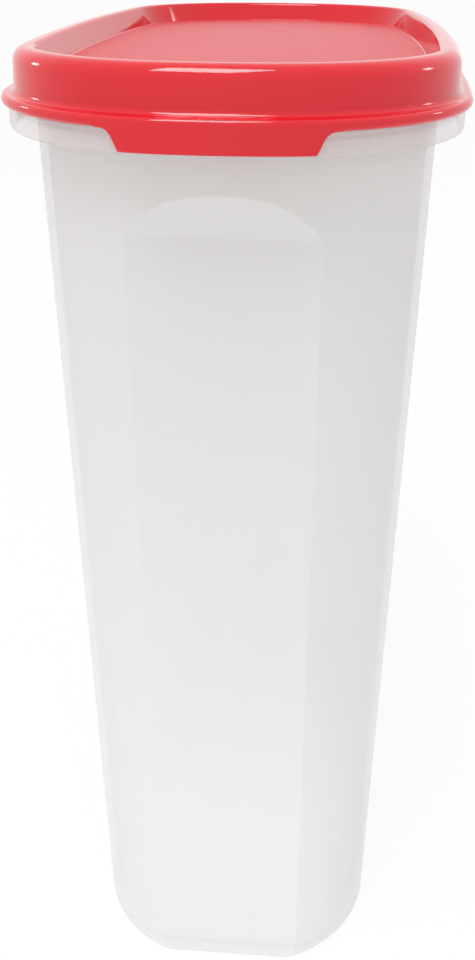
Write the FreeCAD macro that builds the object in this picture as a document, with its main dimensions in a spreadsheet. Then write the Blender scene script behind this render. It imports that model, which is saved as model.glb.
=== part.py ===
import FreeCAD, Part
import os
from math import acos, atan2, pi, sin, sqrt, tan
import Sketcher

# An oval storage canister with a press-on lid, standing on its base.
# The origin is the middle of the base, X runs across the width, Y along the length with the
# pull tab at -Y, and Z is up. Every inset is measured inward from the outline of the lid's flange.
DRIVING_SIZES = [
    ("length", 194.0, "over the flange of the lid, along Y"),
    ("width", 97.0, "over the flange of the lid, along X"),
    ("height", 227.0, "from the base to the top of the lid"),
    ("side_radius", 713.0, "plan radius of the long sides"),
    ("end_radius", 106.0, "plan radius of the narrow ends"),
    ("end_arc_width", 17.4, "chord of the flatter arc in the middle of each end"),
    ("rim_drop", 10.25, "from the top of the lid down to its seat on the canister"),
    ("flange_edge_radius", 1.0, "lower edge of the flange"),
    ("flange_face", 0.1, "upright part of the flange"),
    ("flange_top_radius", 1.0, "upper edge of the flange"),
    ("flange_ledge", 1.1, "flat part on top of the flange"),
    ("flange_fillet", 0.4, "corner between flange and skirt"),
    ("channel_edge_radius", 0.4, "corners of the sealing channel"),
    ("skirt_wall", 1.4, "wall of the skirt at the flange"),
    ("skirt_lean", 0.4, "how far the skirt leans in at the top"),
    ("crown_radius", 2.8, "outer round of the rim"),
    ("crown_flat", 0.4, "flat part on top of the rim"),
    ("crown_inner_radius", 1.0, "round from the rim into the recess"),
    ("recess_depth", 4.95, "from the rim down to the recessed panel"),
    ("recess_lean", 1.6, "slope of the recess wall"),
    ("recess_fillet", 0.4, "corner between recess wall and panel"),
    ("panel_margin", 6.0, "part of the recessed panel that belongs to the rim section"),
    ("lid_wall", 1.3, "thickness of the recessed panel"),
    ("channel_roof", 1.9, "thickness over the sealing channel"),
    ("plug_lean", 1.0, "slope of the plug wall inside the lip"),
    ("fit_clearance", 0.25, "gap on each side of the lip in the sealing channel"),
    ("roof_clearance", 0.3, "gap between the lip and the roof of the channel"),
    ("tab_width", 33.75, "pull tab at its lower edge"),
    ("tab_drop", 3.75, "how far the tab hangs below the flange"),
    ("tab_lean", 1.8, "how far each side of the tab spreads upward"),
    ("tab_shoulder", 2.3, "round between tab and flange"),
    ("tab_thickness", 0.95, "wall of the tab"),
    ("tab_edge_radius", 0.3, "lower edges of the tab"),
    ("tab_clearance", 0.3, "gap between the tab and the collar"),
    ("collar_height", 4.4, "from the seat down to the lower edge of the collar"),
    ("collar_wall", 1.3, "wall of the hanging part of the collar"),
    ("collar_round", 0.4, "edges of the collar and the lip"),
    ("collar_edge_radius", 0.8, "lower outer edge of the collar"),
    ("web_thickness", 1.4, "ledge that carries the lid"),
    ("lip_wall", 1.4, "wall of the upright lip"),
    ("wall_inset_rim", 6.45, "outer wall at the height of the seat"),
    ("wall_inset_base", 9.88, "outer wall at the base"),
    ("wall", 1.6, "wall of the canister"),
    ("floor", 1.8, "floor of the canister"),
    ("flare_reach", 2.0, "height above and below the seat over which the inside widens"),
    ("base_radius", 2.5, "round between wall and base"),
    ("floor_fillet", 1.5, "round between wall and floor inside"),
    ("foot_height", 0.8, "height of the foot ring"),
    ("foot_width", 8.0, "width of the foot ring"),
    ("grip_depth_base", 3.0, "depth of the flat grip at the base"),
    ("grip_depth_top", 2.8, "depth of the flat grip at its top"),
    ("grip_margin", 11.75, "from the seat down to the top of the run-out above the grip"),
    ("runout_height", 8.0, "height of the sloping run-out above the grip"),
    ("grip_blend", 5.0, "round between grip and run-out"),
    ("grip_foot_radius", 0.9, "round between grip and base"),
]

# Heights and insets that follow from the sizes above
SEAT = "(dims.height - dims.rim_drop)"
COLLAR_BOTTOM = f"({SEAT} - dims.collar_height)"
WEB_BOTTOM = f"({SEAT} - dims.web_thickness)"
CHANNEL_ROOF = "(dims.height - dims.channel_roof)"
LIP_TOP = f"({CHANNEL_ROOF} - dims.roof_clearance)"
FLARE_START = f"({SEAT} - dims.flare_reach)"
FLARE_END = f"({SEAT} + dims.flare_reach)"
FLANGE_TOP = f"({SEAT} + dims.flange_edge_radius + dims.flange_face + dims.flange_top_radius)"
PANEL_TOP = "(dims.height - dims.recess_depth)"
PANEL_BOTTOM = f"({PANEL_TOP} - dims.lid_wall)"
TAB_BOTTOM = f"({SEAT} - dims.tab_drop)"
FLOOR_TOP = "(dims.foot_height + dims.floor)"
GRIP_TOP = f"({SEAT} - dims.grip_margin - dims.runout_height)"

SKIRT_INSET = "(dims.flange_top_radius + dims.flange_ledge + dims.flange_fillet)"
SKIRT_TOP_INSET = f"({SKIRT_INSET} + dims.skirt_lean)"
CHANNEL_INSET = f"({SKIRT_INSET} + dims.skirt_wall)"
RECESS_EDGE_INSET = (f"({SKIRT_TOP_INSET} + dims.crown_radius + dims.crown_flat"
                     " + dims.crown_inner_radius)")
RECESS_FOOT_INSET = f"({RECESS_EDGE_INSET} + dims.recess_lean)"
PANEL_JOIN_INSET = f"({RECESS_FOOT_INSET} + dims.panel_margin)"
LIP_INSET = f"({CHANNEL_INSET} + dims.fit_clearance)"
LIP_INNER_INSET = f"({LIP_INSET} + dims.lip_wall)"
PLUG_INSET = f"({LIP_INNER_INSET} + dims.fit_clearance)"
COLLAR_INSET = "(dims.tab_thickness + dims.tab_clearance)"
COLLAR_INNER_INSET = f"({COLLAR_INSET} + dims.collar_wall)"
WALL_SLOPE = f"((dims.wall_inset_base - dims.wall_inset_rim) / {SEAT})"
RIM_INNER_INSET = "(dims.wall_inset_rim + dims.wall)"
FOOT_INNER_INSET = "(dims.wall_inset_base + dims.base_radius + dims.foot_width)"
MIDDLE_INSET = f"({FOOT_INNER_INSET} + dims.foot_width / 2)"
FILL_INSET = f"({FOOT_INNER_INSET} + dims.foot_width / 4)"

# How far a cutting or joining solid runs past the face that it has to reach
OVERRUN = 2.0
# Points this close in height count as level
LEVEL_TOLERANCE = 0.001

doc = FreeCAD.newDocument("storage_canister")
dims = doc.addObject("Spreadsheet::Sheet", "dims")
for row, (alias, size, meaning) in enumerate(DRIVING_SIZES, start=1):
    dims.set(f"A{row}", alias)
    dims.set(f"B{row}", str(size))
    dims.set(f"C{row}", meaning)
    dims.setAlias(f"B{row}", alias)
doc.recompute()


def value(expression):
    """The number that an expression over the sheet gives now."""
    return float(dims.evalExpression(expression))


def new_body(name):
    """An empty body for one moulded form."""
    return doc.addObject("PartDesign::Body", name)


def plane(body, role):
    """One of the body's own origin planes."""
    return next(feature for feature in body.Origin.OriginFeatures if feature.Role == role)


def new_sketch(body, name, role, offset="0"):
    """A sketch on an origin plane, moved along the plane's normal by the offset."""
    sketch = body.newObject("Sketcher::SketchObject", name)
    sketch.AttachmentSupport = [(plane(body, role), "")]
    sketch.MapMode = "FlatFace"
    sketch.setExpression("AttachmentOffset.Base.z", offset)
    return sketch


def constrain(sketch, plain, measured):
    """Add plain constraints, then measured ones, each given as its terms and an expression."""
    sketch.addConstraint(plain)
    for terms, expression in measured:
        number = sketch.addConstraint(Sketcher.Constraint(*terms, value(expression)))
        sketch.setExpression(f"Constraints[{number}]", expression)


def outline(sketch, corners):
    """A closed outline through corners (across, up, radius), the radius None at a sharp corner."""
    count = len(corners)
    points = [FreeCAD.Vector(value(across), value(up), 0) for across, up, radius in corners]
    plain = []
    measured = []
    arrivals = []
    departures = []
    for index, (across, up, radius) in enumerate(corners):
        corner = points[index]
        to_last = (points[index - 1] - corner).normalize()
        to_next = (points[(index + 1) % count] - corner).normalize()
        cut = value(radius) / tan(to_last.getAngle(to_next) / 2) if radius else 0.0
        arrivals.append(corner + to_last * cut)
        departures.append(corner + to_next * cut)
    lines = [sketch.addGeometry(Part.LineSegment(departures[index], arrivals[(index + 1) % count]))
             for index in range(count)]
    for index, (across, up, radius) in enumerate(corners):
        corner = points[index]
        arriving = lines[index - 1]
        leaving = lines[index]
        mark = sketch.addGeometry(Part.Point(corner), True)
        measured.append((("DistanceX", -1, 1, mark, 1), across))
        measured.append((("DistanceY", -1, 1, mark, 1), up))
        if not radius:
            plain.append(Sketcher.Constraint("Coincident", arriving, 2, mark, 1))
            plain.append(Sketcher.Constraint("Coincident", leaving, 1, mark, 1))
            continue
        arrival = arrivals[index]
        departure = departures[index]
        middle_way = ((arrival - corner) + (departure - corner)).normalize()
        half_angle = (arrival - corner).getAngle(departure - corner) / 2
        centre = corner + middle_way * (value(radius) / sin(half_angle))
        crown = centre - middle_way * value(radius)
        arc = sketch.addGeometry(Part.Arc(arrival, crown, departure))
        turns_left = (corner - points[index - 1]).cross(points[(index + 1) % count] - corner).z > 0
        first, last = (1, 2) if turns_left else (2, 1)
        plain.append(Sketcher.Constraint("PointOnObject", mark, 1, arriving))
        plain.append(Sketcher.Constraint("PointOnObject", mark, 1, leaving))
        plain.append(Sketcher.Constraint("Tangent", arriving, 2, arc, first))
        plain.append(Sketcher.Constraint("Tangent", arc, last, leaving, 1))
        measured.append((("Radius", arc), radius))
    constrain(sketch, plain, measured)


def oval(sketch, inset):
    """The plan outline, inset: two side arcs, two end arcs and four corner arcs, all tangent."""
    offset = value(inset)
    side_radius = value("dims.side_radius")
    end_radius = value("dims.end_radius")
    side_centre = value("dims.width / 2 - dims.side_radius")
    end_centre = value("dims.length / 2 - dims.end_radius")
    # A corner arc leaves the end arc where that ends and meets the side arc, which fixes its centre
    end_sine = value("dims.end_arc_width / 2 / dims.end_radius")
    end_cosine = sqrt(1 - end_sine ** 2)
    spread = side_radius - end_radius
    reach = ((spread ** 2 - side_centre ** 2 - end_centre ** 2)
             / (2 * (end_centre * end_cosine - side_centre * end_sine - spread)))
    corner_x = reach * end_sine
    corner_y = end_centre + reach * end_cosine
    corner_radius = end_radius - reach
    side_angle = atan2(corner_y, corner_x - side_centre)
    end_angle = acos(end_sine)

    def add_arc(x, y, radius, start, stop):
        circle = Part.Circle(FreeCAD.Vector(x, y, 0), FreeCAD.Vector(0, 0, 1), radius - offset)
        return sketch.addGeometry(Part.ArcOfCircle(circle, start, stop))

    arcs = []
    for sign, turn in ((1, 0.0), (-1, pi)):
        arcs += [
            add_arc(sign * side_centre, 0, side_radius, turn - side_angle, turn + side_angle),
            add_arc(sign * corner_x, sign * corner_y, corner_radius,
                    turn + side_angle, turn + end_angle),
            add_arc(0, sign * end_centre, end_radius, turn + end_angle, turn + pi - end_angle),
            add_arc(-sign * corner_x, sign * corner_y, corner_radius,
                    turn + pi - end_angle, turn + pi - side_angle),
        ]
    plain = [Sketcher.Constraint("Tangent", arcs[index - 1], 2, arcs[index], 1)
             for index in range(len(arcs))]
    measured = []
    half_chord = f"(dims.end_arc_width / 2 * (1 - ({inset}) / dims.end_radius))"
    for sign, side, end in ((1, arcs[0], arcs[2]), (-1, arcs[4], arcs[6])):
        plain.append(Sketcher.Constraint("PointOnObject", side, 3, -1))
        plain.append(Sketcher.Constraint("PointOnObject", end, 3, -2))
        measured += [
            (("DistanceX", -1, 1, side, 3), f"{sign} * (dims.width / 2 - dims.side_radius)"),
            (("DistanceY", -1, 1, end, 3), f"{sign} * (dims.length / 2 - dims.end_radius)"),
            (("Radius", side), f"dims.side_radius - ({inset})"),
            (("Radius", end), f"dims.end_radius - ({inset})"),
            (("DistanceX", -1, 1, end, 1), f"{sign} * {half_chord}"),
            (("DistanceX", -1, 1, end, 2), f"{-sign} * {half_chord}"),
        ]
    constrain(sketch, plain, measured)


def plan(body, name, inset, up):
    """A sketch of the plan outline at a height."""
    sketch = new_sketch(body, name, "XY_Plane", up)
    oval(sketch, inset)
    return sketch


def sweep_round(body, name, corners):
    """A section, given as (inset, height, radius) corners, carried once round the plan outline."""
    path = plan(body, f"{name}_path", "0", SEAT)
    section = new_sketch(body, f"{name}_section", "XZ_Plane")
    outline(section, [(f"dims.width / 2 - ({inset})", up, radius) for inset, up, radius in corners])
    feature = body.newObject("PartDesign::AdditivePipe", name)
    feature.Profile = section
    feature.Spine = path
    feature.Mode = "Standard"
    return feature


def pocket_through(body, name, sketch):
    """Cut the sketched outline down through the whole body."""
    feature = body.newObject("PartDesign::Pocket", name)
    feature.Profile = sketch
    feature.Type = "ThroughAll"
    return feature


def round_lowest_arcs(body, name, radius):
    """Round the curved edges of the body's lowest face."""
    doc.recompute()
    base = body.Tip
    lowest = base.Shape.BoundBox.ZMin
    edges = [f"Edge{number}" for number, edge in enumerate(base.Shape.Edges, start=1)
             if isinstance(edge.Curve, Part.Circle) and edge.BoundBox.ZMax - lowest < LEVEL_TOLERANCE]
    feature = body.newObject("PartDesign::Fillet", name)
    feature.Base = (base, edges)
    feature.setExpression("Radius", radius)
    return feature


def fill(body, name, inset, bottom, top):
    """A straight solid of the plan outline that fills the middle of a swept section."""
    feature = body.newObject("PartDesign::Pad", name)
    feature.Profile = plan(body, f"{name}_outline", inset, bottom)
    feature.setExpression("Length", f"{top} - {bottom}")
    return feature


def wall_inset(up):
    """Inset of the outer wall at a height, where it leans by its draft."""
    return f"(dims.wall_inset_base - {WALL_SLOPE} * {up})"


def grip_cut(body, name, inward, bottom, bottom_round):
    """The flat grip, with its rounded foot and sloping run-out, cut from both narrow ends."""
    end = "(dims.length / 2)"
    foot = f"({wall_inset(bottom)} + dims.grip_depth_base + {inward} - {end})"
    head = f"({wall_inset(GRIP_TOP)} + dims.grip_depth_top + {inward} - {end})"
    runout_depth = f"(dims.grip_depth_top + {WALL_SLOPE} * dims.runout_height)"
    outside = f"(-{end} - {OVERRUN})"
    under = f"({foot} + 2 * dims.base_radius)"
    below = f"({bottom} - {OVERRUN})"
    # The run-out goes on, at its slope, for its own height past the wall
    far_up = f"({GRIP_TOP} + 2 * dims.runout_height)"
    section = new_sketch(body, f"{name}_section", "YZ_Plane")
    outline(section, [
        (outside, below, None),
        (under, below, None),
        (under, bottom, None),
        (foot, bottom, bottom_round),
        (head, GRIP_TOP, "dims.grip_blend"),
        (f"{head} - 2 * {runout_depth}", far_up, None),
        (outside, far_up, None),
    ])
    pocket = body.newObject("PartDesign::Pocket", name)
    pocket.Profile = section
    pocket.SideType = "Symmetric"
    pocket.setExpression("Length", "dims.width")
    doc.recompute()
    mirrored = body.newObject("PartDesign::Mirrored", f"{name}_far_end")
    mirrored.Originals = [pocket]
    mirrored.MirrorPlane = (plane(body, "XZ_Plane"), [""])
    body.Tip = mirrored
    return mirrored


def build_canister():
    """The moulded canister: its outer form less the core that shapes the inside."""
    form = new_body("canister_form")
    sweep_round(form, "wall", [
        ("dims.wall_inset_base", "0", "dims.base_radius"),
        (FOOT_INNER_INSET, "0", None),
        (FOOT_INNER_INSET, "dims.foot_height", None),
        (MIDDLE_INSET, "dims.foot_height", None),
        (MIDDLE_INSET, SEAT, None),
        ("dims.wall_inset_rim", SEAT, None),
    ])
    fill(form, "middle", FILL_INSET, "dims.foot_height", SEAT)
    grip_cut(form, "grip", "0", "0", "dims.grip_foot_radius")
    sweep_round(form, "rim", [
        (COLLAR_INSET, SEAT, "dims.collar_round"),
        (LIP_INSET, SEAT, None),
        (LIP_INSET, LIP_TOP, "dims.collar_round"),
        (RIM_INNER_INSET, LIP_TOP, None),
        (RIM_INNER_INSET, WEB_BOTTOM, None),
        (COLLAR_INNER_INSET, WEB_BOTTOM, "dims.collar_round"),
        (COLLAR_INNER_INSET, COLLAR_BOTTOM, "dims.collar_round"),
        (COLLAR_INSET, COLLAR_BOTTOM, "dims.collar_edge_radius"),
    ])

    core = new_body("canister_core")
    mouth_top = f"({LIP_TOP} + {OVERRUN})"
    sweep_round(core, "inside", [
        (f"{wall_inset(FLOOR_TOP)} + dims.wall", FLOOR_TOP, "dims.floor_fillet"),
        (MIDDLE_INSET, FLOOR_TOP, None),
        (MIDDLE_INSET, mouth_top, None),
        (f"{LIP_INNER_INSET} - dims.collar_round - {OVERRUN}", mouth_top, None),
        (LIP_INNER_INSET, f"{LIP_TOP} - dims.collar_round", None),
        (LIP_INNER_INSET, FLARE_END, None),
        (f"{wall_inset(FLARE_START)} + dims.wall", FLARE_START, None),
    ])
    fill(core, "inside_middle", FILL_INSET, FLOOR_TOP, mouth_top)
    grip_cut(core, "grip_inside", "dims.wall", FLOOR_TOP, "dims.floor_fillet")

    canister = doc.addObject("Part::Cut", "canister_body")
    canister.Base = form
    canister.Tool = core
    return canister


def build_lid():
    """The flexible lid: pull tab, rim section swept round the outline, and recessed panel."""
    lid = new_body("lid")
    half_tab = "(dims.tab_width / 2)"
    tab_root = f"({half_tab} + dims.tab_lean)"
    shoulder = f"({tab_root} + dims.tab_shoulder)"
    wing = f"({shoulder} + dims.tab_shoulder)"
    tab_head = f"({SEAT} + dims.flange_edge_radius + dims.flange_face / 2)"
    front = new_sketch(lid, "tab_front", "XZ_Plane")
    outline(front, [
        (f"-{half_tab}", TAB_BOTTOM, None),
        (half_tab, TAB_BOTTOM, None),
        (tab_root, SEAT, "dims.tab_shoulder"),
        (shoulder, SEAT, None),
        (wing, tab_head, None),
        (f"-{wing}", tab_head, None),
        (f"-{shoulder}", SEAT, None),
        (f"-{tab_root}", SEAT, "dims.tab_shoulder"),
    ])
    tab = lid.newObject("PartDesign::Pad", "tab")
    tab.Profile = front
    tab.setExpression("Length", f"dims.length / 2 + {OVERRUN}")
    around = plan(lid, "tab_outside", "0", "dims.height")
    far_x = f"(dims.width / 2 + {OVERRUN})"
    far_y = f"(dims.length / 2 + 2 * {OVERRUN})"
    outline(around, [
        (f"-{far_x}", f"-{far_y}", None),
        (far_x, f"-{far_y}", None),
        (far_x, far_y, None),
        (f"-{far_x}", far_y, None),
    ])
    pocket_through(lid, "tab_outer_trim", around)
    pocket_through(lid, "tab_inner_trim", plan(lid, "tab_inside", "dims.tab_thickness", "dims.height"))
    round_lowest_arcs(lid, "tab_edge", "dims.tab_edge_radius")

    sweep_round(lid, "rim", [
        ("0", SEAT, "dims.flange_edge_radius"),
        (CHANNEL_INSET, SEAT, "dims.channel_edge_radius"),
        (CHANNEL_INSET, CHANNEL_ROOF, "dims.channel_edge_radius"),
        (PLUG_INSET, CHANNEL_ROOF, "dims.channel_edge_radius"),
        (f"{PLUG_INSET} + dims.plug_lean", PANEL_BOTTOM, "dims.recess_fillet"),
        (PANEL_JOIN_INSET, PANEL_BOTTOM, None),
        (PANEL_JOIN_INSET, PANEL_TOP, None),
        (RECESS_FOOT_INSET, PANEL_TOP, "dims.recess_fillet"),
        (RECESS_EDGE_INSET, "dims.height", "dims.crown_inner_radius"),
        (SKIRT_TOP_INSET, "dims.height", "dims.crown_radius"),
        (SKIRT_INSET, FLANGE_TOP, "dims.flange_fillet"),
        ("0", FLANGE_TOP, "dims.flange_top_radius"),
    ])
    panel_inset = f"({PANEL_JOIN_INSET} - dims.panel_margin / 2)"
    fill(lid, "recessed_panel", panel_inset, PANEL_BOTTOM, PANEL_TOP)
    return lid


parts = [build_canister(), build_lid()]
doc.recompute()

failed = [item.Label for item in doc.Objects if {"Invalid", "Error"} & set(item.State)]
failed += [part.Label for part in parts if part.Shape.isNull() or not part.Shape.isValid()]
if failed:
    raise RuntimeError("These objects failed: " + ", ".join(failed))

os.makedirs("parts", exist_ok=True)
for part in parts:
    part.Shape.exportStep(os.path.join("parts", f"{part.Label}.step"))
    print(part.Label, len(part.Shape.Solids), "solid", round(part.Shape.Volume / 1000, 2), "cubic cm")
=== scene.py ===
import math

import bmesh
import bpy
import numpy as np
from mathutils import Matrix, Vector


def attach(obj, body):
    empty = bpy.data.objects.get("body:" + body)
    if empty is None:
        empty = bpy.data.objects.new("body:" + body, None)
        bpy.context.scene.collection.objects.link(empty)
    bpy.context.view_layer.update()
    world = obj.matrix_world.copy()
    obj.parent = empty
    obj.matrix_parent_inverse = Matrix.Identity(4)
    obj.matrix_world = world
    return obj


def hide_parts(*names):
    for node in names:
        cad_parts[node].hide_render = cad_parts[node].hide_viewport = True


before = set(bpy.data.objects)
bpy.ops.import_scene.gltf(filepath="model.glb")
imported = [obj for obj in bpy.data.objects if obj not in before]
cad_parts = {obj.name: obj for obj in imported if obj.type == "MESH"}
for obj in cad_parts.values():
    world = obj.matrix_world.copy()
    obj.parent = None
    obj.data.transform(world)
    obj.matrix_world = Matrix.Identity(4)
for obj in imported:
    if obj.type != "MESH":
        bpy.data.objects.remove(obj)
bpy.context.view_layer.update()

# Canister: a tall tapered tub with an oval plan, injection moulded in one shot of milky polypropylene.
# A flat grip is sunk into the middle of each end, and round the mouth stand an upright sealing lip and a
# hanging collar. Sizes are in millimetres, and every inset is measured inward from the lid's outer edge.
MM = 0.001
LENGTH = 194.0
WIDTH = 97.0
HEIGHT = 227.0
SIDE_RADIUS = 713.0
END_RADIUS = 106.0
END_ARC = 17.4
SEAT = 216.75
WALL = 1.6
WALL_INSET_BASE = 9.88
WALL_INSET_SEAT = 6.45
BASE_RADIUS = 2.5
FLOOR_TOP = 2.6
FLOOR_FILLET = 1.5
FLOOR_MARGIN = 8.0
FOOT_HEIGHT = 0.8
FOOT_INNER = 20.38
FOOT_EDGE = 0.3
COLLAR_INSET = 1.25
COLLAR_WALL = 1.3
COLLAR_BOTTOM = 212.35
COLLAR_EDGE = 0.4
COLLAR_LOWER_EDGE = 0.8
COLLAR_ROOT = WALL_INSET_SEAT - 0.5
WEB_BOTTOM = 215.35
WEB_FILLET = 0.8
LIP_INSET = 4.15
LIP_WALL = 1.4
LIP_TOP = 224.8
LIP_EDGE = 0.5
LIP_FILLET = 0.3
FLARE_REACH = 2.0
FLARE_RADIUS = 1.5
GRIP_DEPTH_BASE = 3.0
GRIP_DEPTH_TOP = 2.8
GRIP_TOP = 197.0
GRIP_FOOT_RADIUS = 0.9
GRIP_LEAD = 10.0
GRIP_EDGE = 0.3
GRIP_EDGE_SHARE = 0.45
GRIP_SIDE = math.radians(60.0)
RUNOUT_TOP = 205.0
RUNOUT_BLEND = 5.0

# How finely the mesh follows those sizes: the steps along each stretch, the heights of the wall's rings,
# and the turn from one point to the next in a rounded corner
FINE_STEPS = 500
SIDE_STEPS = 14
WHOLE_END_STEPS = 56
CORNER_STEPS = 36
GRIP_STEPS = 14
BEND_STEPS = 5
FLAT_STEPS = 8
RUNOUT_STEPS = 24
WALL_LEVELS = [6.0, 20.0, 45.0, 70.0, 95.0, 120.0, 145.0, 165.0, 180.0, 190.0, 194.0, 195.5, 196.0, 196.5]
NECK_LEVELS = [206.0, 209.0]
LEVEL_MARGIN = 0.05
LONG_RUN = 5.0
CORNER_TURN = math.radians(12)
GRIP_TURN = math.radians(3)
MERGE_DISTANCE = 0.002
SHARP_ANGLE = math.radians(32)

side_centre = WIDTH / 2 - SIDE_RADIUS
end_centre = LENGTH / 2 - END_RADIUS
end_turn = math.asin(END_ARC / 2 / END_RADIUS)
end_joint = np.array([END_ARC / 2, end_centre + END_RADIUS * math.cos(end_turn)])
end_normal = np.array([math.sin(end_turn), math.cos(end_turn)])
to_joint = end_joint - np.array([side_centre, 0.0])
corner_radius = (SIDE_RADIUS**2 - to_joint @ to_joint) / (2 * (SIDE_RADIUS - to_joint @ end_normal))
corner_centre = end_joint - corner_radius * end_normal
side_turn = math.atan2(corner_centre[1], corner_centre[0] - side_centre)


def plan_points(turns, inset):
    """Points of the oval in its first quarter, at the given directions of the outward normal."""
    turns = np.asarray(turns, float)
    side = turns < side_turn
    end = turns > math.pi / 2 - end_turn
    radius = np.where(side, SIDE_RADIUS, np.where(end, END_RADIUS, corner_radius)) - inset
    x = np.where(side, side_centre, np.where(end, 0.0, corner_centre[0]))
    y = np.where(side, 0.0, np.where(end, end_centre, corner_centre[1]))
    return np.stack([x + radius * np.cos(turns), y + radius * np.sin(turns)], axis=1)


def even_points(first, last, inset, count):
    """Points of the oval at even distances between two directions of the normal."""
    turns = np.linspace(first, last, FINE_STEPS)
    steps = np.linalg.norm(np.diff(plan_points(turns, inset), axis=0), axis=1)
    along = np.concatenate([[0.0], np.cumsum(steps)])
    return plan_points(np.interp(np.linspace(0.0, along[-1], count + 1), along, turns), inset)


def turn_at_y(y, inset):
    """Direction of the normal where the oval reaches y, or straight along Y where it falls short."""
    on_corner = (y - corner_centre[1]) / (corner_radius - inset)
    if on_corner < math.cos(end_turn):
        return math.asin(on_corner)
    return math.asin(min(1.0, (y - end_centre) / (END_RADIUS - inset)))


def ring(inset, height, flat_y=None):
    """A closed ring of points round the oval, cut off flat at both ends where flat_y is given."""
    side = plan_points(np.linspace(0.0, side_turn, SIDE_STEPS + 1)[:-1], inset)
    if flat_y is None:
        quarter = np.concatenate([side, even_points(side_turn, math.pi / 2, inset, WHOLE_END_STEPS)])
    else:
        turn = turn_at_y(flat_y, inset)
        edge = plan_points([turn], inset)[0]
        soft = min(GRIP_EDGE, GRIP_EDGE_SHARE * edge[0])
        corner = even_points(side_turn, GRIP_SIDE, inset, CORNER_STEPS)[:-1]
        near = even_points(GRIP_SIDE, turn - soft / (corner_radius - inset), inset, GRIP_STEPS)
        share = np.linspace(0.0, 1.0, BEND_STEPS + 1)[1:, None]
        inner = np.array([edge[0] - soft, edge[1]])
        bend = (1 - share)**2 * near[-1] + 2 * share * (1 - share) * edge + share**2 * inner
        flat_x = np.linspace(inner[0], 0.0, FLAT_STEPS + 1)[1:]
        flat = np.stack([flat_x, np.full(FLAT_STEPS, edge[1])], axis=1)
        quarter = np.concatenate([side, corner, near, bend, flat])
    left = quarter[::-1][1:] * (-1, 1)
    back = quarter[1:] * (-1, -1)
    right = quarter[::-1][1:-1] * (1, -1)
    loop = np.concatenate([quarter, left, back, right])
    return np.column_stack([loop, np.full(len(loop), height)])


def rounded(corners, step=CORNER_TURN):
    """A line through corners given as (inset, height, radius), with each corner turned into an arc."""
    line = []
    for index, (inset, height, radius) in enumerate(corners):
        here = np.array([inset, height])
        if not radius or index in (0, len(corners) - 1):
            line.append(here)
            continue
        back = np.array(corners[index - 1][:2]) - here
        on = np.array(corners[index + 1][:2]) - here
        back = back / np.linalg.norm(back)
        on = on / np.linalg.norm(on)
        opening = math.acos(np.clip(back @ on, -1.0, 1.0))
        sweep = math.pi - opening
        middle = back + on
        centre = here + middle / np.linalg.norm(middle) * radius / math.sin(opening / 2)
        start = here + back * radius / math.tan(opening / 2) - centre
        finish = here + on * radius / math.tan(opening / 2) - centre
        count = max(3, math.ceil(sweep / step))
        for part in np.linspace(0.0, 1.0, count + 1):
            mix = (math.sin((1 - part) * sweep) * start + math.sin(part * sweep) * finish) / math.sin(sweep)
            line.append(centre + mix)
    return np.array(line)


def with_levels(line, levels):
    """The same line with a point added wherever a long run of it crosses one of the levels."""
    full = [line[0]]
    for start, finish in zip(line[:-1], line[1:]):
        low, high = sorted((start[1], finish[1]))
        crossed = []
        if high - low > LONG_RUN:
            crossed = [z for z in levels if low + LEVEL_MARGIN < z < high - LEVEL_MARGIN]
        for z in sorted(crossed, reverse=finish[1] < start[1]):
            share = (z - start[1]) / (finish[1] - start[1])
            full.append(start + share * (finish - start))
        full.append(finish)
    return np.array(full)


def skin(mesh, rings):
    """Quads between neighbouring rings, with a flat face in the first and in the last one."""
    loops = [[mesh.verts.new(point * MM) for point in points] for points in rings]
    for lower, upper in zip(loops[:-1], loops[1:]):
        for index in range(len(lower)):
            nearby = (index + 1) % len(lower)
            mesh.faces.new((lower[index], lower[nearby], upper[nearby], upper[index]))
    mesh.faces.new(loops[0][::-1])
    mesh.faces.new(loops[-1])


def finished_piece(name, mesh, materials):
    """The object of a finished mesh, smooth except at its real corners."""
    bmesh.ops.remove_doubles(mesh, verts=mesh.verts, dist=MERGE_DISTANCE * MM)
    bmesh.ops.dissolve_degenerate(mesh, edges=mesh.edges, dist=MERGE_DISTANCE * MM)
    bmesh.ops.recalc_face_normals(mesh, faces=mesh.faces)
    data = bpy.data.meshes.new(name)
    mesh.to_mesh(data)
    mesh.free()
    data.shade_smooth()
    data.set_sharp_from_angle(angle=SHARP_ANGLE)
    for material in materials:
        data.materials.append(material)
    piece = bpy.data.objects.new(name, data)
    bpy.context.scene.collection.objects.link(piece)
    weighted = piece.modifiers.new("even_shading", "WEIGHTED_NORMAL")
    weighted.keep_sharp = True
    return piece


def wall_inset(height):
    """Inset of the canister's outer wall at a height."""
    return WALL_INSET_BASE - (WALL_INSET_BASE - WALL_INSET_SEAT) * height / SEAT


def grip_line(depth, bottom, foot_radius):
    """Distance of the grip from the middle against height, depth mm inside the outer face."""
    half = LENGTH / 2 - depth
    foot = half - WALL_INSET_BASE - GRIP_DEPTH_BASE
    head = half - wall_inset(GRIP_TOP) - GRIP_DEPTH_TOP
    slope = (half - wall_inset(RUNOUT_TOP) - head) / (RUNOUT_TOP - GRIP_TOP)
    return rounded([
        (foot - GRIP_LEAD, bottom, 0.0),
        (foot, bottom, foot_radius),
        (head, GRIP_TOP, RUNOUT_BLEND),
        (head + 2 * slope * (RUNOUT_TOP - GRIP_TOP), 2 * RUNOUT_TOP - GRIP_TOP, 0.0),
    ], GRIP_TURN)[1:]


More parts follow.
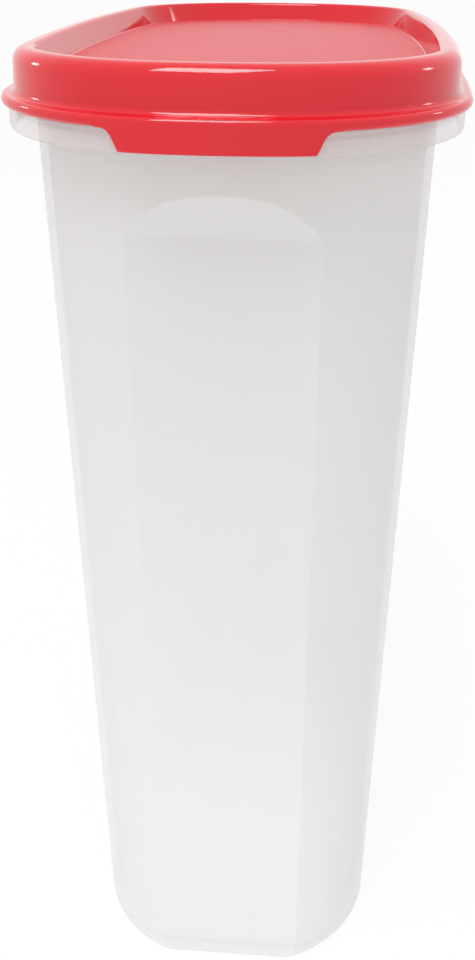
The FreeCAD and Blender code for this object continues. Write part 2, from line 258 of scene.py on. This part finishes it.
canister_section = rounded([
    (FOOT_INNER + FLOOR_MARGIN, FOOT_HEIGHT, 0.0),
    (FOOT_INNER, FOOT_HEIGHT, FOOT_EDGE),
    (FOOT_INNER, 0.0, FOOT_EDGE),
    (WALL_INSET_BASE, 0.0, BASE_RADIUS),
    (wall_inset(WEB_BOTTOM), WEB_BOTTOM, WEB_FILLET),
    (COLLAR_INSET + COLLAR_WALL, WEB_BOTTOM, COLLAR_EDGE),
    (COLLAR_INSET + COLLAR_WALL, COLLAR_BOTTOM, COLLAR_EDGE),
    (COLLAR_INSET, COLLAR_BOTTOM, COLLAR_LOWER_EDGE),
    (COLLAR_INSET, SEAT, COLLAR_EDGE),
    (LIP_INSET, SEAT, LIP_FILLET),
    (LIP_INSET, LIP_TOP, LIP_EDGE),
    (LIP_INSET + LIP_WALL, LIP_TOP, LIP_EDGE),
    (LIP_INSET + LIP_WALL, SEAT + FLARE_REACH, FLARE_RADIUS),
    (wall_inset(SEAT - FLARE_REACH) + WALL, SEAT - FLARE_REACH, FLARE_RADIUS),
    (wall_inset(FLOOR_TOP) + WALL, FLOOR_TOP, FLOOR_FILLET),
    (FOOT_INNER + FLOOR_MARGIN, FLOOR_TOP, 0.0),
])
outer_grip = grip_line(0.0, 0.0, GRIP_FOOT_RADIUS)
inner_grip = grip_line(WALL, FLOOR_TOP, FLOOR_FILLET)

# The wall's levels crowd together towards the top of the run-out, where the grip's arch closes
runout_shares = [(step / RUNOUT_STEPS)**2 for step in range(RUNOUT_STEPS + 1)]
runout_levels = [RUNOUT_TOP - (RUNOUT_TOP - GRIP_TOP) * share for share in runout_shares]
canister_section = with_levels(canister_section, WALL_LEVELS + runout_levels + NECK_LEVELS)
lip_index = int(np.argmax(canister_section[:, 1]))
canister_rings = []
for index, (inset, height) in enumerate(canister_section):
    grip = outer_grip if index <= lip_index else inner_grip
    canister_rings.append(ring(inset, height, np.interp(height, grip[:, 1], grip[:, 0])))
canister_mesh = bmesh.new()
skin(canister_mesh, canister_rings)

# Finishes in the order of the canister's materials
OUTER, INSIDE, COLLAR, FOOT = range(4)
canister_mesh.faces.ensure_lookup_table()
ring_length = len(canister_rings[0])
for index, (inset, height) in enumerate(canister_section[:-1]):
    finish = OUTER
    if index >= lip_index:
        finish = INSIDE
    elif inset < COLLAR_ROOT and height < SEAT:
        finish = COLLAR
    elif height < FLOOR_TOP:
        finish = FOOT
    for face in canister_mesh.faces[index * ring_length:(index + 1) * ring_length]:
        face.material_index = finish
canister_mesh.faces[-2].material_index = FOOT
canister_mesh.faces[-1].material_index = INSIDE

NOISE_LOW = 0.15
NOISE_HIGH = 0.85
EVEN = (1.0, 1.0, 1.0)


def noise(tree, scale, detail, stretch=EVEN):
    """A grey noise in the piece's own coordinates, with scale cells to the metre."""
    place = tree.nodes.new("ShaderNodeTexCoord")
    shaped = tree.nodes.new("ShaderNodeMapping")
    shaped.inputs["Scale"].default_value = stretch
    texture = tree.nodes.new("ShaderNodeTexNoise")
    texture.inputs["Scale"].default_value = scale
    texture.inputs["Detail"].default_value = detail
    tree.links.new(place.outputs["Object"], shaped.inputs["Vector"])
    tree.links.new(shaped.outputs["Vector"], texture.inputs["Vector"])
    return texture.outputs["Fac"]


def spread(tree, grey, low, high):
    """A grey noise carried over to the range from low to high."""
    carried = tree.nodes.new("ShaderNodeMapRange")
    carried.inputs["From Min"].default_value = NOISE_LOW
    carried.inputs["From Max"].default_value = NOISE_HIGH
    carried.inputs["To Min"].default_value = low
    carried.inputs["To Max"].default_value = high
    tree.links.new(grey, carried.inputs["Value"])
    return carried.outputs["Result"]


def tinted(tree, grey, first, second):
    """A colour between two colours, led by a grey noise."""
    ramp = tree.nodes.new("ShaderNodeValToRGB")
    ramp.color_ramp.interpolation = "EASE"
    ramp.color_ramp.elements[0].position = NOISE_LOW
    ramp.color_ramp.elements[0].color = (*first, 1.0)
    ramp.color_ramp.elements[1].position = NOISE_HIGH
    ramp.color_ramp.elements[1].color = (*second, 1.0)
    tree.links.new(grey, ramp.inputs["Fac"])
    return ramp.outputs["Color"]


def bumped(tree, grey, depth, under=None):
    """A normal bent by a grey noise of the given depth in metres, on top of another normal."""
    bump = tree.nodes.new("ShaderNodeBump")
    bump.inputs["Strength"].default_value = 1.0
    bump.inputs["Distance"].default_value = depth
    tree.links.new(grey, bump.inputs["Height"])
    if under:
        tree.links.new(under, bump.inputs["Normal"])
    return bump.outputs["Normal"]


def plastic(name, first, second, roughness, bumps, scale, fixed):
    """A moulded plastic: a slightly cloudy colour, uneven gloss and an uneven surface.

    Each bump is given as (cells to the metre, depth in metres, stretch), and fixed holds the shader's
    values that are the same all over the surface.
    """
    material = bpy.data.materials.new(name)
    material.use_nodes = True
    tree = material.node_tree
    shader = tree.nodes["Principled BSDF"]
    clouds = noise(tree, scale, 0.0)
    tree.links.new(tinted(tree, clouds, first, second), shader.inputs["Base Color"])
    patches = noise(tree, 3 * scale, 1.0)
    tree.links.new(spread(tree, patches, *roughness), shader.inputs["Roughness"])
    normal = None
    for bump_scale, depth, stretch in bumps:
        normal = bumped(tree, noise(tree, bump_scale, 2.0, stretch), depth, normal)
    tree.links.new(normal, shader.inputs["Normal"])
    for socket, value in fixed.items():
        shader.inputs[socket].default_value = value
    return material


MILKY = (0.86, 0.86, 0.85)
# The collar's colour is darker and pinker than the wall's, though it is the same plastic: painted red light
# from the lid and painted shade under the lid's bead.
MILKY_COLLAR_PAINTED_RED_SHADE = (0.785, 0.7, 0.705)
# The foot's colour is darker than the wall's, though it is the same plastic: painted shade that takes back
# the light the low lamps and the floor throw on it.
MILKY_FOOT_PAINTED_SHADE = (0.8, 0.8, 0.79)
MILKY_PALER = 0.015
MILKY_CLOUDS = 8.0
MILKY_SKIN = (1400.0, 0.000001, EVEN)
MILKY_IOR = 1.49
SATIN = (0.29, 0.36)
MATT = (0.6, 0.7)
WALL_DENSITY = 0.52
COLLAR_DENSITY = 0.35
milky_finishes = []
for name, colour, gloss, density in (
    ("milky_polypropylene", MILKY, SATIN, WALL_DENSITY),
    ("milky_inside", MILKY, MATT, WALL_DENSITY),
    ("milky_collar_painted_red_shade", MILKY_COLLAR_PAINTED_RED_SHADE, SATIN, COLLAR_DENSITY),
    ("milky_foot_painted_shade", MILKY_FOOT_PAINTED_SHADE, SATIN, WALL_DENSITY),
):
    paler = [channel + MILKY_PALER for channel in colour]
    fixed = {"IOR": MILKY_IOR, "Alpha": density}
    milky_finishes.append(plastic(name, colour, paler, gloss, [MILKY_SKIN], MILKY_CLOUDS, fixed))

canister = finished_piece("canister_shell", canister_mesh, milky_finishes)
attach(canister, "canister")
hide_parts("canister_body")

# Lid: a flexible press-on cover moulded in glossy red polyethylene, held by a channel that snaps over
# the canister's lip. Its rim stands round a sunk, finely grained panel, and a pull tab hangs at one end.
FLANGE_TOP = 218.85
FLANGE_EDGE = 1.0
BEAD_MIDDLE = 217.75
BEAD_HOLLOW = 1.2
CHANNEL_INSET = 3.9
CHANNEL_ROOF = 225.1
PLUG_INSET = 5.8
PLUG_LEAN = 1.0
LID_FILLET = 0.4
PANEL_TOP = 222.05
PANEL_BOTTOM = 220.75
PANEL_MIDDLE = 34.0
PANEL_MARGIN = 3.0
PANEL_TOLERANCE = 0.02
SKIRT_INSET = 2.5
SKIRT_LEAN = 0.4
CROWN_RADIUS = 2.8
RECESS_EDGE = 7.1
RECESS_EDGE_RADIUS = 1.0
RECESS_FOOT = 8.7
TAB_WIDTH = 33.75
TAB_DROP = 3.75
TAB_LEAN = 1.8
TAB_SHOULDER = 2.3
TAB_SHOULDER_BLEND = 3.0
TAB_CORNER = 0.4
TAB_CORNER_RUN = 2.0
TAB_BACK = 0.95
TAB_ROUND = 0.3
TAB_ROOT_RISE = 0.2
TAB_ROOT_INSET = 0.04
TAB_FACE_RISE = 0.05
TAB_STEPS = 40
TAB_ROUND_STEPS = 7
TAB_TURN = math.radians(6)
LID_TURN = math.radians(9)

lid_section = rounded([
    (PANEL_MIDDLE, PANEL_BOTTOM, 0.0),
    (PLUG_INSET + PLUG_LEAN, PANEL_BOTTOM, LID_FILLET),
    (PLUG_INSET, CHANNEL_ROOF, LID_FILLET),
    (CHANNEL_INSET, CHANNEL_ROOF, LID_FILLET),
    (CHANNEL_INSET, SEAT, LID_FILLET),
    (0.0, SEAT, FLANGE_EDGE),
    (0.0, FLANGE_TOP, FLANGE_EDGE),
    (SKIRT_INSET, FLANGE_TOP, BEAD_HOLLOW),
    (SKIRT_INSET + SKIRT_LEAN, HEIGHT, CROWN_RADIUS),
    (RECESS_EDGE, HEIGHT, RECESS_EDGE_RADIUS),
    (RECESS_FOOT, PANEL_TOP, LID_FILLET),
    (RECESS_FOOT + PANEL_MARGIN, PANEL_TOP, 0.0),
    (PANEL_MIDDLE, PANEL_TOP, 0.0),
], LID_TURN)
lid_mesh = bmesh.new()
skin(lid_mesh, [ring(inset, height) for inset, height in lid_section])


def end_y(x, inset):
    """Distance from the middle to the narrow end of the oval, at x."""
    across = np.abs(x)
    on_corner = (across - corner_centre[0]) / (corner_radius - inset)
    on_end = across / (END_RADIUS - inset)
    corner_y = corner_centre[1] + (corner_radius - inset) * np.sqrt(1 - np.clip(on_corner, -1, 1)**2)
    middle_y = end_centre + (END_RADIUS - inset) * np.sqrt(1 - on_end**2)
    return np.where(across > (END_RADIUS - inset) * math.sin(end_turn), corner_y, middle_y)


tab_root = TAB_WIDTH / 2 + TAB_LEAN
tab_bottom = SEAT - TAB_DROP
tab_run = TAB_WIDTH / 2 - TAB_CORNER_RUN
half_tab = rounded([
    (tab_root + 2 * TAB_SHOULDER, BEAD_MIDDLE, 0.0),
    (tab_root + TAB_SHOULDER, SEAT, TAB_SHOULDER_BLEND),
    (tab_root, SEAT, TAB_SHOULDER),
    (TAB_WIDTH / 2, tab_bottom, TAB_CORNER),
    (tab_run, tab_bottom, 0.0),
], TAB_TURN)
bottom_x = np.linspace(tab_run, -tab_run, TAB_STEPS)[1:-1]
bottom_run = np.column_stack([bottom_x, np.full(len(bottom_x), tab_bottom)])
tab_line = np.concatenate([half_tab, bottom_run, half_tab[::-1] * (-1, 1)])
along = np.gradient(tab_line, axis=0)
along /= np.linalg.norm(along, axis=1)[:, None]
tab_inward = np.column_stack([along[:, 1], -along[:, 0]])

# Rows of the tab run from inside the flange down its face, round its lower edge and up its back
turns = np.linspace(0.0, math.pi / 2, TAB_ROUND_STEPS)
edge_rows = [(TAB_ROUND * (1 - math.sin(t)), TAB_ROUND * (1 - math.cos(t))) for t in turns]
rows = [(None, BEAD_MIDDLE + TAB_ROOT_RISE, TAB_ROOT_INSET), (None, BEAD_MIDDLE + TAB_FACE_RISE, 0.0)]
rows += [(offset, None, depth) for offset, depth in edge_rows]
rows += [(offset, None, TAB_BACK - depth) for offset, depth in edge_rows[::-1]]
rows.append((None, BEAD_MIDDLE, TAB_BACK))
face_end = tab_line + TAB_ROUND * tab_inward
tab_rings = []
for offset, level, inset in rows:
    if level is None:
        place = tab_line + offset * tab_inward
    else:
        place = np.column_stack([face_end[:, 0], np.maximum(face_end[:, 1], level)])
    tab_rings.append(np.column_stack([place[:, 0], -end_y(place[:, 0], inset), place[:, 1]]))
loops = [[lid_mesh.verts.new(point * MM) for point in points] for points in tab_rings]
for lower, upper in zip(loops, loops[1:] + loops[:1]):
    for index in range(len(lower) - 1):
        lid_mesh.faces.new((lower[index], lower[index + 1], upper[index + 1], upper[index]))
lid_mesh.faces.new([loop[0] for loop in loops])
lid_mesh.faces.new([loop[-1] for loop in loops][::-1])

RED = (0.68, 0.008, 0.02)
RED_DEEP = (0.65, 0.006, 0.016)
RED_CLOUDS = 40.0
RED_WAVES = (35.0, 0.00003, EVEN)
RED_SKIN = (900.0, 0.000002, EVEN)
POLISHED = (0.05, 0.1)
# The panel's red is darker than the rest of the lid's, though it is the same plastic: painted shade that
# takes back the overhead light on this upward-facing panel. Its grain and roughness are real.
PANEL_RED_PAINTED_SHADE = (0.61, 0.008, 0.02)
PANEL_RED_DEEP_PAINTED_SHADE = (0.6, 0.007, 0.018)
PANEL_CLOUDS = 60.0
LENGTHWISE = (1.0, 0.12, 1.0)
PANEL_GRAIN = (2200.0, 0.00008, LENGTHWISE)
GRAINED = (0.46, 0.5)
PANEL_SHEEN = {"Sheen Weight": 0.25, "Sheen Roughness": 0.4}
red = plastic("red_gloss", RED_DEEP, RED, POLISHED, [RED_WAVES, RED_SKIN], RED_CLOUDS, {})
grain_and_painted_shade = plastic(
    "red_grain_and_painted_shade", PANEL_RED_DEEP_PAINTED_SHADE, PANEL_RED_PAINTED_SHADE, GRAINED, [PANEL_GRAIN], PANEL_CLOUDS, PANEL_SHEEN)

# The panel's faces take the grained finish, which carries the panel's painted shade.
for face in lid_mesh.faces:
    middle = face.calc_center_median() / MM
    if abs(middle.z - PANEL_TOP) < PANEL_TOLERANCE:
        face.material_index = 1
lid = finished_piece("lid_cover", lid_mesh, [red, grain_and_painted_shade])
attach(lid, "lid")
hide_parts("lid")

# Studio: a pale paper floor in a white room, a soft light overhead, a small one at each side for the
# glints in the lid's corners, two low fills near the foot, and a camera where the photograph was taken
# from. The floor lies a little under the canister's foot, so that the two don't share a plane.
FLOOR_REACH = 20.0
FLOOR_DROP = 0.1
FLOOR_GLOW = 0.9
PAPER_COLOUR = (0.9, 0.9, 0.9, 1.0)
PAPER_ROUGHNESS = 0.9
floor_mesh = bmesh.new()
bmesh.ops.create_grid(floor_mesh, x_segments=1, y_segments=1, size=FLOOR_REACH)
floor_data = bpy.data.meshes.new("floor")
floor_mesh.to_mesh(floor_data)
floor_mesh.free()
floor = bpy.data.objects.new("floor", floor_data)
floor.location.z = -FLOOR_DROP * MM
bpy.context.scene.collection.objects.link(floor)
paper = bpy.data.materials.new("white_paper")
paper.use_nodes = True
paper_tree = paper.node_tree
paper_shader = paper_tree.nodes["Principled BSDF"]
paper_shader.inputs["Base Color"].default_value = PAPER_COLOUR
paper_shader.inputs["Roughness"].default_value = PAPER_ROUGHNESS
floor_data.materials.append(paper)


def sees_white(tree):
    """A socket that is 1 for rays that come from the camera, a gloss or a clear surface."""
    rays = tree.nodes.new("ShaderNodeLightPath")
    first = tree.nodes.new("ShaderNodeMath")
    first.operation = "MAXIMUM"
    tree.links.new(rays.outputs["Is Camera Ray"], first.inputs[0])
    tree.links.new(rays.outputs["Is Glossy Ray"], first.inputs[1])
    second = tree.nodes.new("ShaderNodeMath")
    second.operation = "MAXIMUM"
    tree.links.new(first.outputs["Value"], second.inputs[0])
    tree.links.new(rays.outputs["Is Transmission Ray"], second.inputs[1])
    return second.outputs["Value"]


glow = paper_tree.nodes.new("ShaderNodeEmission")
glow.inputs["Strength"].default_value = 1.0
glow_share = paper_tree.nodes.new("ShaderNodeMath")
glow_share.operation = "MULTIPLY"
glow_share.inputs[1].default_value = FLOOR_GLOW
paper_tree.links.new(sees_white(paper_tree), glow_share.inputs[0])
mix = paper_tree.nodes.new("ShaderNodeMixShader")
paper_tree.links.new(glow_share.outputs["Value"], mix.inputs["Fac"])
paper_tree.links.new(paper_shader.outputs["BSDF"], mix.inputs[1])
paper_tree.links.new(glow.outputs["Emission"], mix.inputs[2])
paper_tree.links.new(mix.outputs["Shader"], paper_tree.nodes["Material Output"].inputs["Surface"])

CAMERA_PLACE = (0.01953, -0.27295, 0.24497)
CAMERA_YAW = math.radians(-4.21)
CAMERA_PITCH = math.radians(27.63)
CAMERA_ROLL = math.radians(0.44)
CAMERA_LENS = 38.78
CAMERA_SENSOR = 36.0
CAMERA_SHIFT_X = -0.0154
CAMERA_SHIFT_Y = 0.0007
CAMERA_NEAREST = 0.01
ahead = Vector((
    math.sin(CAMERA_YAW) * math.cos(CAMERA_PITCH),
    math.cos(CAMERA_YAW) * math.cos(CAMERA_PITCH),
    -math.sin(CAMERA_PITCH),
))
level = Vector((math.cos(CAMERA_YAW), -math.sin(CAMERA_YAW), 0.0))
upward = level.cross(ahead)
right = math.cos(CAMERA_ROLL) * level + math.sin(CAMERA_ROLL) * upward
up = -math.sin(CAMERA_ROLL) * level + math.cos(CAMERA_ROLL) * upward
camera_data = bpy.data.cameras.new("photo_camera")
camera_data.lens = CAMERA_LENS
camera_data.sensor_width = CAMERA_SENSOR
camera_data.shift_x = CAMERA_SHIFT_X
camera_data.shift_y = CAMERA_SHIFT_Y
camera_data.clip_start = CAMERA_NEAREST
camera = bpy.data.objects.new("photo_camera", camera_data)
bpy.context.scene.collection.objects.link(camera)
camera_turn = Matrix((right, up, -ahead)).transposed()
camera.matrix_world = Matrix.Translation(CAMERA_PLACE) @ camera_turn.to_4x4()
bpy.context.scene.camera = camera


def softbox(name, place, aim, width, height, energy):
    """A flat soft light that faces the point it is aimed at."""
    data = bpy.data.lights.new(name, "AREA")
    data.shape = "RECTANGLE"
    data.size = width
    data.size_y = height
    data.energy = energy
    lamp = bpy.data.objects.new(name, data)
    bpy.context.scene.collection.objects.link(lamp)
    facing = (Vector(aim) - Vector(place)).to_track_quat("-Z", "Y")
    lamp.matrix_world = Matrix.Translation(place) @ facing.to_matrix().to_4x4()
    lamp.visible_camera = False
    return lamp


softbox("overhead_softbox", (-0.14, -0.35, 1.1), (0.0, 0.0, 0.2), 0.34, 0.44, 5.0)
softbox("left_softbox", (-0.81, 0.28, 0.45), (0.0, -0.05, 0.22), 0.11, 0.1, 0.3)
softbox("right_softbox", (0.8, 0.26, 0.5), (0.0, -0.05, 0.22), 0.11, 0.1, 0.3)
foot_light = softbox("foot_light", (0.0, -0.22, 0.03), (0.0, 0.0, 0.03), 0.7, 0.04, 0.15)
left_fill = softbox("left_fill", (-0.35, -0.1, 0.06), (0.0, 0.0, 0.06), 0.3, 0.06, 0.07)
for lamp in (foot_light, left_fill):
    lamp.visible_glossy = False

WORLD_LIGHT = 0.76
world = bpy.data.worlds.new("white_room")
bpy.context.scene.world = world
world.use_nodes = True
room = world.node_tree.nodes["Background"]
room.inputs["Color"].default_value = (1.0, 1.0, 1.0, 1.0)
strength = world.node_tree.nodes.new("ShaderNodeMapRange")
strength.inputs["To Min"].default_value = WORLD_LIGHT
strength.inputs["To Max"].default_value = 1.0
world.node_tree.links.new(sees_white(world.node_tree), strength.inputs["Value"])
world.node_tree.links.new(strength.outputs["Result"], room.inputs["Strength"])
bpy.context.scene.view_settings.view_transform = "Standard"
